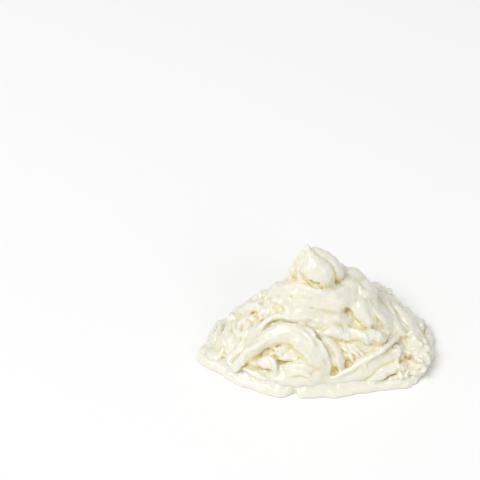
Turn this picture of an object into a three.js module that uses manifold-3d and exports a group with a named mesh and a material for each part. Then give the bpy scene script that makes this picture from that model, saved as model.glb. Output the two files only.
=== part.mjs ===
// Stracciatella served as a heap: shreds of pulled curd, folded and twisted over each other,
// standing in the cream that has run out round their foot. There is no dish under it.
// Millimetres, +Z up, +X to the right and +Y away from the shown side. The origin is on the
// surface that the heap lies on, under the middle of its box.

import * as THREE from "three";
import { mergeVertices } from "three/addons/utils/BufferGeometryUtils.js";
import Module from "manifold-3d";

const wasm = await Module();
wasm.setup();

// ---------------------------------------------------------------- driving dimensions

const PEAK_X = 2; // the mound's axis
const PEAK_Y = 0.5;
const PEAK_HEIGHT = 34;
const FOOT_WALL = 3; // upright wall at the mound's foot

// Reach of the mound from its axis, and how full its slope is (1 is a straight cone and 2 a
// dome), every 30 degrees from +X towards +Y.
const REACH = [41, 36, 33, 30, 29, 29.5, 41, 39, 31, 27.5, 29.5, 40];
const FULLNESS = [1.35, 1.5, 1.6, 1.5, 1.6, 1.6, 1.4, 1.4, 1.4, 1.4, 1.4, 1.35];

const CREAM_LEVEL = 2.4;
const CREAM_EDGE = 2; // radius of the cream's rounded edge
// How far the cream runs out past the mound, every 30 degrees from +X towards +Y.
const CREAM_RUN = [3, 2.2, 2.2, 2.2, 2.2, 2.4, 3, 3.6, 5, 4.8, 4.8, 4];
// Tongues and bays in the cream's edge: out past the run or in, with angles in degrees.
const CREAM_EDGE_BENDS = [
  { angle: -109, spread: 3, out: -3 },
  { angle: -166, spread: 8, out: 4.2 },
  { angle: -18, spread: 9, out: 1.6 },
];
const GAP = 0.4; // kept between the cream and the curd

const SEED = 11;
const FILLERS = 40; // places for shreds laid by rule, taken where no chosen one lies
const FILLER_CLEARANCE = 4.5;

// How finely each form is divided: faces round it, and millimetres from ring to ring along it.
const MOUND_FACES = { round: 54, rings: 12 };
const CREAM_FACES = { round: 108, edge: 3 };
const SHRED_FACES = { round: 8, pitch: 2.8 };
const FILLER_FACES = { round: 6, pitch: 3.2 };
const KNOB_FACES = { round: 10, pitch: 2.2 };
const SHORTEST_EDGE = 0.08;

// Chosen shreds. A route's points are [x, y, rise], with rise the height of the shred's middle
// off the mound. Width lies along the mound and thickness stands off it, both in full.
// A list gives them from the shred's start to its end. Twist is in whole turns.
const SHREDS = {
  arch: {
    width: [6, 7.6, 8, 8, 7, 5], thickness: 6.4, lumps: 0.08,
    route: [
      [-20, -16, 0.6], [-17, -14, 2], [-11, -14, 3], [-6, -16, 3.2], [-1, -18, 3], [2, -21, 2.6],
      [5, -23, 1],
    ],
  },
  archRope: {
    width: [4.6, 4.4, 4, 3.2, 2.2], thickness: 3.4, twist: 0.6,
    route: [[-14, -14, 3], [-20, -15, 2.8], [-23, -18, 2.4], [-27, -19.5, 1.8], [-32, -21, 0.8]],
  },
  underArch: {
    width: 4.6, lumps: 0.2,
    route: [[-7, -18, 1], [-11, -20, 1.6], [-14, -20.5, 1.4], [-19, -21, 0.4]],
  },
  underArchLow: {
    width: 6, thickness: 4.4, lumps: 0.15,
    route: [[-18, -21.5, 0.4], [-11, -23, 1.6], [-4, -23.5, 1.6], [2, -24, 0.4]],
  },
  archEnd: {
    width: 5, thickness: 4,
    route: [[2, -18, 0.6], [7, -20, 1.6], [8.5, -22, 1.6], [8, -24.5, 0.4]],
  },
  roll: {
    width: [4, 5.8, 6, 6, 5.6, 4], thickness: 5.4, lumps: 0.16,
    route: [[0, -15.5, 0.2], [6, -15, 1.8], [12, -15, 2.2], [19, -16, 2.2], [26, -15.5, 2], [31, -12, 0.4]],
  },
  cord: {
    width: [3.4, 3, 2.8, 2.8, 2.6, 2.4], thickness: 2.8, lumps: 0.1, twist: 1,
    route: [[33, -10, 0.6], [28, -16.5, 2.2], [23, -20, 2.4], [18, -21.5, 2.2], [12, -24, 1.4], [5, -26, 0]],
  },
  collar: {
    width: 7, thickness: 3.2,
    route: [
      [-14, 1, 0], [-12, -2, 1], [-6, -6, 1.4], [0, -7.5, 1.8], [6, -7.5, 2], [11, -6, 1.8],
      [13, -2, 0.6],
    ],
  },
  collarLow: {
    width: 5, thickness: 2.4,
    route: [[-14, -5, 0], [-9, -8.5, 0.6], [-3, -10.5, 0.8], [3, -11, 1], [9, -10, 1], [13, -7, 0.2]],
  },
  shoulder: {
    width: [5, 7, 8, 7, 5], thickness: 6,
    route: [[9, 4, 1], [13, 5.5, 2], [17, 4.5, 1.8], [19, 0, 1.6], [20, -5, 0.4]],
  },
  rightLobe: {
    width: [5, 7, 7, 5], thickness: 4.4,
    route: [[16, 1, 1], [20, -4, 1.6], [22, -8, 1.2], [22.5, -13, 0]],
  },
  rightLongFront: {
    width: 3, thickness: 2.4,
    route: [[20, -4, 0.4], [24, -6, 1], [29, -9, 1], [34, -12, 0.2]],
  },
  rightLongMiddle: {
    width: 3.2, thickness: 2.6, twist: 0.5,
    route: [[20, -1, 0.4], [28, -4.5, 1.2], [33, -8, 1.2], [38, -11, 0.2]],
  },
  rightLongBack: {
    width: 3.2, thickness: 2.6,
    route: [[22, 5, 0.2], [28, 2.5, 1], [34, 0.5, 1.1], [39, -2, 1], [43, -6, 0.2]],
  },
  rightWall: {
    width: 3.2, lumps: 0.25,
    route: [[41, 7, 0.2], [43, 2, 0.8], [44, -4, 0.8], [43, -11, 0.8], [40, -18, 0.2]],
  },
  rightFoot: {
    width: [4, 5, 5, 4], thickness: 4, lumps: 0.3,
    route: [[19, -25, 0.4], [25, -24, 1.4], [31, -22, 1.6], [37, -18, 0.6]],
  },
  rightLow: {
    width: 5, thickness: 3.4,
    route: [[9, -25.5, 0.4], [15, -24, 1], [22, -21, 1.4], [29, -18, 1], [35, -14, 0.2]],
  },
  loop: {
    width: 2.6,
    route: [[-9, -13, 0], [-12, -10.5, 1.4], [-16, -10, 1.4], [-20, -12.5, 1.2], [-24, -14, 0.4]],
  },
  loopUpper: {
    width: 3, lumps: 0.2,
    route: [[-17, -1, 0], [-14, -5, 1], [-9, -7, 0.4]],
  },
  leftInner: {
    width: 3.2, thickness: 2.8,
    route: [[-28, 1, 0.2], [-25, -4, 1.4], [-22, -7.5, 1.4], [-21, -12, 0.2]],
  },
  leftMiddle: {
    width: 3.2, thickness: 2.8,
    route: [[-33, 2, 0.2], [-31.5, -5, 1.4], [-29, -11, 1.2], [-28, -16, 0.2]],
  },
  leftOuter: {
    width: 3.2, thickness: 2.8,
    route: [[-38, 2, 0.2], [-37.5, -5, 1.1], [-36, -11, 0.8], [-33, -16, 0.2]],
  },
  leftTip: {
    width: [5, 6, 5], thickness: 4,
    route: [[-42, -2, 0], [-41, -7, 0.6], [-38, -13, 0.4]],
  },
  footLeft: {
    width: 2.6,
    route: [[-25, -20, 0.6], [-20, -23, 1], [-15, -25.5, 0.4]],
  },
  footMiddle: {
    width: 3.4, thickness: 2.8,
    route: [[-14, -25.5, 0], [-8, -26, 0.8], [-1, -26.5, 1.1], [6, -25.5, 0.4]],
  },
  sweepLeft: {
    width: 4.4, thickness: 2,
    route: [[-13, -9, 0], [-7, -12, 0.6], [0, -13, 0.8], [7, -13.5, 0.7], [12, -13, 0]],
  },
  sweepRight: {
    width: 5, thickness: 2.2,
    route: [[12, -9, 0], [16, -12, 0.7], [22, -12.5, 0.8], [30, -10, 0]],
  },
};

// The knob pulled up on top: [x, y, z] in the part's frame, with its full width at each point.
const KNOB = {
  front: {
    width: [2.4, 4.4, 7, 10, 10.4, 9.4, 6], thickness: [2.4, 4.4, 6, 8, 8.4, 8, 5],
    route: [
      [-4.2, 2, 48], [-3.5, 1, 45.2], [-2.8, -1.5, 43], [-1.3, -3.5, 40], [1, -4.5, 37.8], [4.2, -4, 36.3],
      [7, -1.5, 35],
    ],
  },
  right: {
    width: [3, 5.6, 7, 7, 6],
    route: [[-3.6, 4, 45.6], [0.4, 3.5, 41.7], [3.8, 2.5, 39.4], [7, 1.5, 36.2], [8.4, 1, 31]],
  },
  left: {
    width: [3, 5.4, 6.4, 7, 6],
    route: [[-4.6, 4, 44.6], [-5.6, 4.5, 39.5], [-6.2, 4, 35.2], [-7.5, 3, 31.5], [-10, 1.5, 26]],
  },
  neck: { width: [7, 10, 12], route: [[-2.5, 4, 42.5], [-0.5, 3, 37.5], [0.8, 2, 28]] },
};

// Rounded curds that stand out along the mound's upper edges: [x, y, rise, full width].
const CURDS = [
  [-16, 2, 0.4, 5], [-21, 3, 0.4, 4.6], [-26, 5, 0.3, 5], [-32, 6, 0.3, 4.4], [-37, 5, 0.3, 4.2],
  [-22, -1, 0.3, 4], [-17, -5, 0.3, 3.4], [-26, -10, 0.4, 4], [-34, -12, 0.4, 4], [-30, -19, 0.5, 3.6],
  [24, 9, 0.3, 4.6], [30, 8, 0.3, 4.4], [36, 6, 0.3, 4.6], [41, -14, 0.2, 4.4], [33, -21, 0.6, 3.8],
];

// ---------------------------------------------------------------- the mound's form

// A smooth closed curve through values that are spaced evenly round the circle.
function around(values, angle) {
  const count = values.length;
  const place = (((angle / (2 * Math.PI)) % 1) + 1) * count;
  const first = Math.floor(place);
  const t = place - first;
  const [a, b, c, d] = [-1, 0, 1, 2].map((step) => values[(first + step + count) % count]);
  return b + 0.5 * t * (c - a + t * (2 * a - 5 * b + 4 * c - d + t * (3 * (b - c) + d - a)));
}

// Shallow folds under the shreds, as a share of the mound's height.
function underfolds(angle, share) {
  const onSlope = share * (1 - share);
  return onSlope * (0.1 * Math.sin(7 * angle + 9 * share) + 0.07 * Math.sin(11 * angle - 14 * share + 1));
}

// Height of the mound at a share, 0 to 1, of the way from its axis to its foot.
function moundHeight(angle, share) {
  const slope = 1 - share ** around(FULLNESS, angle) + underfolds(angle, share);
  return FOOT_WALL + (PEAK_HEIGHT - FOOT_WALL) * slope;
}

function surfaceHeight(x, y) {
  const angle = Math.atan2(y - PEAK_Y, x - PEAK_X);
  const share = Math.hypot(x - PEAK_X, y - PEAK_Y) / around(REACH, angle);
  return moundHeight(angle, Math.min(share, 1));
}

function surfaceNormal(x, y) {
  const step = 0.5;
  const slopeX = (surfaceHeight(x + step, y) - surfaceHeight(x - step, y)) / (2 * step);
  const slopeY = (surfaceHeight(x, y + step) - surfaceHeight(x, y - step)) / (2 * step);
  return new THREE.Vector3(-slopeX, -slopeY, 1).normalize();
}

// The point that stands the given rise off the mound over [x, y].
function offMound([x, y, rise]) {
  return new THREE.Vector3(x, y, surfaceHeight(x, y)).addScaledVector(surfaceNormal(x, y), rise);
}

// ---------------------------------------------------------------- solids

// A closed mesh as a solid. Its shared corners are merged, and the faces that a pole flattens
// to a line are left out.
function toSolid(geometry) {
  const shell = geometry.clone();
  shell.deleteAttribute("normal");
  shell.deleteAttribute("uv");
  const merged = mergeVertices(shell);
  const corners = merged.getIndex().array;
  const faces = [];
  for (let i = 0; i < corners.length; i += 3) {
    const [a, b, c] = corners.slice(i, i + 3);
    if (a !== b && b !== c && c !== a) faces.push(a, b, c);
  }
  const mesh = new wasm.Mesh({
    numProp: 3,
    vertProperties: new Float32Array(merged.getAttribute("position").array),
    triVerts: new Uint32Array(faces),
  });
  return new wasm.Manifold(mesh);
}

function joined(solids) {
  return solids.reduce((whole, solid) => whole.add(solid));
}

// The one outer body of a solid, without loose scraps and with any sealed hollow filled.
function outerBody(solid) {
  return solid.decompose().reduce((best, body) => (body.volume() > best.volume() ? body : best));
}

// Cutting leaves needle-thin faces. Each edge shorter than the limit is drawn together to one
// point, where that leaves the skin closed: the edge's ends then share two neighbours only.
function withoutShortEdges(corners, triangles, limit) {
  const facesAt = Array.from({ length: corners.length / 3 }, () => new Set());
  const faces = [];
  for (let i = 0; i < triangles.length; i += 3) {
    const face = [...triangles.slice(i, i + 3)];
    face.forEach((corner) => facesAt[corner].add(face));
    faces.push(face);
  }
  const axes = [0, 1, 2];
  const neighbours = (a) => new Set([...facesAt[a]].flat().filter((other) => other !== a));
  const distance = (a, b) => Math.hypot(...axes.map((axis) => corners[3 * a + axis] - corners[3 * b + axis]));
  for (const face of faces) {
    for (const [a, b] of [[face[0], face[1]], [face[1], face[2]], [face[2], face[0]]]) {
      if (!facesAt[a].has(face) || a === b || distance(a, b) > limit) continue;
      const shared = neighbours(b);
      if ([...neighbours(a)].filter((corner) => shared.has(corner)).length !== 2) continue;
      for (const axis of axes) corners[3 * a + axis] += (corners[3 * b + axis] - corners[3 * a + axis]) / 2;
      for (const moved of [...facesAt[b]]) {
        moved[moved.indexOf(b)] = a;
        facesAt[b].delete(moved);
        facesAt[a].add(moved);
        if (new Set(moved).size < 3) moved.forEach((corner) => facesAt[corner].delete(moved));
      }
    }
  }
  return faces.filter((face) => new Set(face).size === 3).flat();
}

function toGeometry(solid) {
  const mesh = solid.getMesh();
  const corners = new Float32Array(mesh.vertProperties);
  const faces = withoutShortEdges(corners, mesh.triVerts, SHORTEST_EDGE);
  const geometry = new THREE.BufferGeometry();
  geometry.setAttribute("position", new THREE.BufferAttribute(corners, 3));
  geometry.setIndex(faces);
  const skin = mergeVertices(geometry.toNonIndexed());
  skin.computeVertexNormals();
  return skin;
}

// A body turned round the mound's axis, whose reach and height then change with the angle.
// The profile runs up from the axis to the axis, with a radius of 1 where the reach is.
function unevenLathe(profile, segments, reach, height) {
  const geometry = new THREE.LatheGeometry(profile.map(([r, z]) => new THREE.Vector2(r, z)), segments);
  geometry.rotateX(Math.PI / 2);
  geometry.deleteAttribute("normal");
  geometry.deleteAttribute("uv");
  const body = mergeVertices(geometry);
  const corner = body.getAttribute("position");
  for (let i = 0; i < corner.count; i++) {
    const angle = Math.atan2(corner.getY(i), corner.getX(i));
    const share = Math.hypot(corner.getX(i), corner.getY(i));
    const radius = share * reach(angle);
    const z = height(angle, share, corner.getZ(i));
    corner.setXYZ(i, PEAK_X + radius * Math.cos(angle), PEAK_Y + radius * Math.sin(angle), z);
  }
  return toSolid(body);
}

// The bare mound. A wider one, which also reaches below the surface, is the cream's cutter.
function moundSolid(wider = 0) {
  const { rings } = MOUND_FACES;
  const profile = [[0, 0], [1, 0]];
  for (let i = rings; i >= 0; i--) profile.push([i / rings, 1]);
  return unevenLathe(
    profile,
    MOUND_FACES.round,
    (angle) => around(REACH, angle) + wider,
    (angle, share, level) => (level > 0.5 ? moundHeight(angle, share) : -wider),
  );
}

// All that lies lower than the cream's surface and the gap over it. Shreds keep out of it.
function creamRoom() {
  const top = CREAM_LEVEL + GAP;
  const depth = PEAK_HEIGHT;
  const across = 4 * Math.max(...REACH);
  return toSolid(new THREE.BoxGeometry(across, across, depth).translate(0, 0, top - depth / 2));
}

// ---------------------------------------------------------------- curd

// A list of values, read at a share 0 to 1 of the way along it. A single value stays as it is.
function along(values, t) {
  if (!Array.isArray(values)) return values;
  const place = t * (values.length - 1);
  const first = Math.min(Math.floor(place), values.length - 2);
  return THREE.MathUtils.lerp(values[first], values[first + 1], place - first);
}

// A strand of curd: a sphere drawn out along a curve. Its broad side faces the given normal,
// and its ends are blunt.
function strand(points, facing, { width, thickness = width, twist = 0, lumps = 0 }, faces) {
  const curve = new THREE.CatmullRomCurve3(points);
  const rings = Math.max(4, Math.round(curve.getLength() / faces.pitch));
  const body = new THREE.SphereGeometry(1, faces.round, rings);
  const corner = body.getAttribute("position");
  for (let i = 0; i < corner.count; i++) {
    const latitude = Math.acos(THREE.MathUtils.clamp(corner.getY(i), -1, 1)) / Math.PI;
    const t = THREE.MathUtils.clamp(Math.round(latitude * rings) / rings, 0, 1);
    const centre = curve.getPointAt(t);
    const forward = curve.getTangentAt(t);
    const across = new THREE.Vector3().crossVectors(facing(centre), forward).normalize();
    const up = new THREE.Vector3().crossVectors(forward, across);
    const bearing = Math.atan2(corner.getZ(i), corner.getX(i));
    const blunt = Math.sqrt(1 - Math.abs(2 * t - 1) ** 4);
    const swell = blunt * (1 + lumps * Math.sin(7 * Math.PI * t));
    const u = 0.5 * along(width, t) * swell * Math.cos(bearing);
    const v = 0.5 * along(thickness, t) * swell * Math.sin(bearing);
    const turn = 2 * Math.PI * twist * t;
    centre.addScaledVector(across, u * Math.cos(turn) - v * Math.sin(turn));
    centre.addScaledVector(up, u * Math.sin(turn) + v * Math.cos(turn));
    corner.setXYZ(i, centre.x, centre.y, centre.z);
  }
  return toSolid(body);
}

function shred(shape, faces = SHRED_FACES) {
  return strand(shape.route.map(offMound), ({ x, y }) => surfaceNormal(x, y), shape, faces);
}

function knobLobe(shape) {
  const facing = new THREE.Vector3(0, -1, 0.5).normalize();
  const points = shape.route.map((point) => new THREE.Vector3(...point));
  return strand(points, () => facing, shape, KNOB_FACES);
}

function curd([x, y, rise, width]) {
  const body = new THREE.IcosahedronGeometry(width / 2, 1);
  body.scale(1.2, 1, 0.9);
  const place = offMound([x, y, rise]);
  body.translate(place.x, place.y, place.z);
  return toSolid(body);
}

// Even draws between 0 and 1 from a seed.
function seededDraws(seed) {
  let state = seed;
  return () => {
    state = (state * 1664525 + 1013904223) % 4294967296;
    return state / 4294967296;
  };
}

// Shreds spread evenly over the rest of the mound. Each runs down the slope at a slant.
function fillerShapes() {
  const draw = seededDraws(SEED);
  const taken = Object.values(SHREDS).flatMap(({ route }) => route);
  const golden = Math.PI * (3 - Math.sqrt(5));
  const shapes = [];
  for (let i = 0; i < FILLERS; i++) {
    const angle = i * golden;
    const share = 0.2 + 0.72 * Math.sqrt((i + 0.5) / FILLERS);
    const slant = (draw() < 0.5 ? -1 : 1) * (0.25 + 0.5 * draw());
    const length = 0.28 + 0.14 * draw();
    const route = [-0.5, -0.17, 0.17, 0.5].map((step, k) => {
      const reached = THREE.MathUtils.clamp(share + step * length, 0.05, 0.97);
      const turned = angle + (slant * step * 0.6) / share;
      const radius = reached * around(REACH, turned);
      const rise = k === 0 || k === 3 ? 0 : 0.8;
      return [PEAK_X + radius * Math.cos(turned), PEAK_Y + radius * Math.sin(turned), rise];
    });
    const width = 2.6 + 2 * draw();
    const shape = { route, width, thickness: 2.2 + draw(), twist: 0.3 * draw(), lumps: 0.2 * draw() };
    const free = taken.every(([x, y]) => {
      return Math.hypot(x - route[1][0], y - route[1][1]) > FILLER_CLEARANCE;
    });
    if (free) shapes.push(shape);
  }
  return shapes;
}

function curdHeap() {
  const pieces = [
    ...Object.values(SHREDS).map((shape) => shred(shape)),
    ...fillerShapes().map((shape) => shred(shape, FILLER_FACES)),
    ...Object.values(KNOB).map(knobLobe),
    ...CURDS.map(curd),
  ];
  const clear = joined(pieces).subtract(creamRoom());
  const material = new THREE.MeshStandardMaterial({ color: 0xf4efdb, roughness: 0.42, metalness: 0 });
  const mesh = new THREE.Mesh(toGeometry(outerBody(moundSolid().add(clear))), material);
  mesh.name = "curd_heap";
  return mesh;
}

// ---------------------------------------------------------------- cream

// How far the cream's edge lies from the mound's axis.
function creamReach(angle) {
  const bends = CREAM_EDGE_BENDS.map(({ angle: middle, spread, out }) => {
    const off = THREE.MathUtils.euclideanModulo(THREE.MathUtils.radToDeg(angle) - middle + 180, 360) - 180;
    return out * Math.exp(-((off / spread) ** 2));
  });
  return around(REACH, angle) + around(CREAM_RUN, angle) + bends.reduce((sum, bend) => sum + bend);
}

function creamPool() {
  const profile = [[0, 0]];
  for (let i = 0; i <= CREAM_FACES.edge; i++) {
    const tilt = ((Math.PI / 2) * i) / CREAM_FACES.edge;
    const inset = (CREAM_EDGE * (1 - Math.cos(tilt))) / creamReach(0);
    profile.push([1 - inset, CREAM_LEVEL * Math.sin(tilt)]);
  }
  profile.push([0, CREAM_LEVEL]);
  const puddle = unevenLathe(profile, CREAM_FACES.round, creamReach, (angle, share, level) => level);
  const material = new THREE.MeshStandardMaterial({ color: 0xf8f5e8, roughness: 0.22, metalness: 0 });
  const mesh = new THREE.Mesh(toGeometry(outerBody(puddle.subtract(moundSolid(GAP)))), material);
  mesh.name = "cream_pool";
  return mesh;
}

// ---------------------------------------------------------------- assembly

const stracciatella = new THREE.Group();
stracciatella.add(curdHeap(), creamPool());

// Puts the origin under the middle of the box.
const middle = new THREE.Box3().setFromObject(stracciatella).getCenter(new THREE.Vector3());
stracciatella.position.set(-middle.x, -middle.y, 0);

export default stracciatella;
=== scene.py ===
"""Stracciatella served as a heap: shreds of pulled curd in the cream that has run out round them.

The heap is sculpted in a block of small cells, each of which holds its distance to the skin.
Strands, lumps and pits are worked into the block one after another, and its skin then becomes
the mesh. Sculpting is in millimetres, in the solids' own drawing frame, whose origin lies a
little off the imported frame's: SHIFT gives the step between them.
"""

import itertools
import math

import bmesh
import bpy
import numpy as np
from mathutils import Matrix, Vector


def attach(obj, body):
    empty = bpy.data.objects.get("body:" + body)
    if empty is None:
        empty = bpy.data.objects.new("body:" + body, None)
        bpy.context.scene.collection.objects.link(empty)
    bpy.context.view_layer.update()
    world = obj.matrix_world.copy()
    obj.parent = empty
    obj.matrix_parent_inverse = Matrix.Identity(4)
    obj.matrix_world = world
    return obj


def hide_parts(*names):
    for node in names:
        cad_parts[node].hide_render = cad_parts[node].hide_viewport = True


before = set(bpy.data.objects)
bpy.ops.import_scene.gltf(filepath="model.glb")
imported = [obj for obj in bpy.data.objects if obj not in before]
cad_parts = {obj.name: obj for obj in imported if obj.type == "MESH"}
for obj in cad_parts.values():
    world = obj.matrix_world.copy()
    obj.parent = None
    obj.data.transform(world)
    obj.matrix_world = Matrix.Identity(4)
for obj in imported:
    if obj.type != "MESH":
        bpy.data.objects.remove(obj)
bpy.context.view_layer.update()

MM = 0.001
SHIFT = np.array([-0.73, -0.52, 0.0])
AXES = range(3)

# ---------------------------------------------------------------- the mound, as in the solids

PEAK_X = 2.0
PEAK_Y = 0.5
PEAK_HEIGHT = 34.0
FOOT_WALL = 3.0
# Every 30 degrees from +X towards +Y: the mound's reach, and how full its slope is.
REACH = [41, 36, 33, 30, 29, 29.5, 41, 39, 31, 27.5, 29.5, 40]
FULLNESS = [1.35, 1.5, 1.6, 1.5, 1.6, 1.6, 1.4, 1.4, 1.4, 1.4, 1.4, 1.35]
CREAM_LEVEL = 2.4
CREAM_EDGE = 2.0
CREAM_RUN = [3, 2.2, 2.2, 2.2, 2.2, 2.4, 3, 3.6, 5, 4.8, 4.8, 4]
# Tongues and bays in the cream's edge: middle angle, spread in degrees, and how far out.
CREAM_EDGE_BENDS = [(-109, 3, -3), (-166, 8, 4.2), (-12, 14, -1.8)]
# Small waves along the cream's edge: height, how many round it, and where they start.
CREAM_EDGE_WAVES = [(0.3, 9, 1), (0.25, 17, 0), (0.15, 31, 2)]
# The cream stands this far below the curd's skin before it blends, and thins out at this height.
CREAM_FILM = 0.5
CREAM_BLEND = 4.2
CREAM_CLIMB = 4.2
# In front it climbs further: middle angle, spread in degrees, and how much further.
CREAM_FRONT_CLIMB = (-105, 50, 1.2)
CREAM_DEPTH_IN_CURD = 1.8

# ---------------------------------------------------------------- how finely it is sculpted

CELL = 0.36
LINE_PITCH = 0.45
CURD_TRIANGLES = 190000
CREAM_TRIANGLES = 70000
SEED = 5
# The blocks of cells, lowest and highest corner.
CURD_BLOCK = [(-47, -33.5, -1.6 * CELL), (49, 37, 50)]
CREAM_BLOCK = [(-50, -37, -1.6 * CELL), (50, 38, 8)]
# Below this height the skin is set on the ground.
GROUND_GAP = 0.12
# How far the whole sculpture is drawn out of true: wavelength and height of each layer.
WARP_WAVES = [(8, 0.7), (3.4, 0.35), (1.7, 0.1)]
# Painted shade: how strongly the colour darkens and yellows everywhere, by its narrow and its wide
# hollows, and underneath, where shade falls.
CURD_PAINTED_SHADE = dict(base=0.2, narrow=0.65, wide=0.25, under=0.26)
CREAM_PAINTED_SHADE = dict(base=0.05, narrow=0.5, under=0.2)


def cubic(a, b, c, d, t):
    """The smooth curve from b, where t is 0, to c, where it is 1, as a and d lead it."""
    return b + 0.5 * t * (c - a + t * (2 * a - 5 * b + 4 * c - d + t * (3 * (b - c) + d - a)))


def around(values, angle):
    """A smooth closed curve through values that are spaced evenly round the circle."""
    values = np.asarray(values, float)
    place = np.mod(angle / (2 * np.pi), 1) * len(values)
    first = np.floor(place).astype(int)
    t = place - first
    return cubic(*(values[(first + step) % len(values)] for step in (-1, 0, 1, 2)), t)


def mound_polar(x, y):
    """The bearing of [x, y] from the mound's axis, and its share of the way to the foot."""
    angle = np.arctan2(y - PEAK_Y, x - PEAK_X)
    return angle, np.hypot(x - PEAK_X, y - PEAK_Y) / around(REACH, angle)


def mound_height(x, y):
    angle, share = mound_polar(x, y)
    on_slope = np.minimum(share, 1) * (1 - np.minimum(share, 1))
    wave = 0.1 * np.sin(7 * angle + 9 * share) + 0.07 * np.sin(11 * angle - 14 * share + 1)
    slope = 1 - share ** around(FULLNESS, angle) + on_slope * wave
    return FOOT_WALL + (PEAK_HEIGHT - FOOT_WALL) * slope


def mound_normal(x, y):
    step = 0.5
    slope_x = (mound_height(x + step, y) - mound_height(x - step, y)) / (2 * step)
    slope_y = (mound_height(x, y + step) - mound_height(x, y - step)) / (2 * step)
    return unit(np.stack([-slope_x, -slope_y, np.ones_like(slope_x)], -1))


def unit(vectors):
    return vectors / np.maximum(np.linalg.norm(vectors, axis=-1, keepdims=True), 1e-9)


def soft_min(a, b, blend):
    overlap = np.maximum(blend - np.abs(a - b), 0) / blend
    return np.minimum(a, b) - overlap * overlap * blend / 4


def soft_max(a, b, blend):
    return -soft_min(-a, -b, blend)


def smoothstep(low, high, value):
    t = np.clip((value - low) / (high - low), 0, 1)
    return t * t * (3 - 2 * t)


# ---------------------------------------------------------------- noise

NOISE_TABLE = 4096
NOISE_KEYS = (73856093, 19349663, 83492791, 2654435)
PUFF_SOFTNESS = 0.003
NOISE_SLOPES = unit(np.random.default_rng(SEED).normal(size=(NOISE_TABLE, 3))).astype(np.float32)


def noise(points, seed=0):
    """Gradient noise between about -1 and 1, with one wave to each unit."""
    points = np.asarray(points, np.float32)
    corner = np.floor(points).astype(np.int64)
    part = points - corner
    fade = part * part * part * (part * (part * 6 - 15) + 10)
    total = np.zeros(len(points), np.float32)
    for offset in itertools.product((0, 1), repeat=3):
        x, y, z = (corner + offset).T
        kx, ky, kz, kseed = NOISE_KEYS
        key = ((x * kx) ^ (y * ky) ^ (z * kz) ^ (seed * kseed)) % NOISE_TABLE
        weight = np.prod(np.where(offset, fade, 1 - fade), axis=1)
        total += weight * np.einsum("ij,ij->i", NOISE_SLOPES[key], part - offset)
    return 1.6 * total


def layered(points, layers, seed=0):
    """Noise in layers, each given as [wavelength, height]."""
    sums = [height * noise(points / wave, seed + i) for i, (wave, height) in enumerate(layers)]
    return np.sum(sums, axis=0)


def puffs(points, seed=0):
    """Round-topped puffs with soft creases between them, of about -1 to 1."""
    broad = np.sqrt(noise(points, seed) ** 2 + PUFF_SOFTNESS)
    small = np.sqrt(noise(2.1 * points, seed + 1) ** 2 + PUFF_SOFTNESS)
    return 3.2 * (broad + 0.4 * small) - 1.2


# ---------------------------------------------------------------- lines

def smooth_line(points, pitch=LINE_PITCH):
    """Points every pitch along a smooth curve through the given ones."""
    points = np.asarray(points, float)
    padded = np.vstack([2 * points[0] - points[1], points, 2 * points[-1] - points[-2]])
    t = np.linspace(0, 1, 16, endpoint=False)[:, None]
    spans = [cubic(*four, t) for four in zip(padded, padded[1:], padded[2:], padded[3:])]
    dense = np.vstack([*spans, points[-1:]])
    reached = np.concatenate([[0], np.cumsum(np.linalg.norm(np.diff(dense, axis=0), axis=1))])
    wanted = np.linspace(0, reached[-1], max(4, round(reached[-1] / pitch)) + 1)
    return np.stack([np.interp(wanted, reached, dense[:, i]) for i in AXES], 1), reached[-1]


def along(values, t):
    """One value, or evenly spaced values, at each share t of the way."""
    values = np.atleast_1d(np.asarray(values, float))
    if len(values) == 1:
        return values[0] + 0 * t
    return np.interp(t, np.linspace(0, 1, len(values)), values)


# ---------------------------------------------------------------- the block of cells

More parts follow.
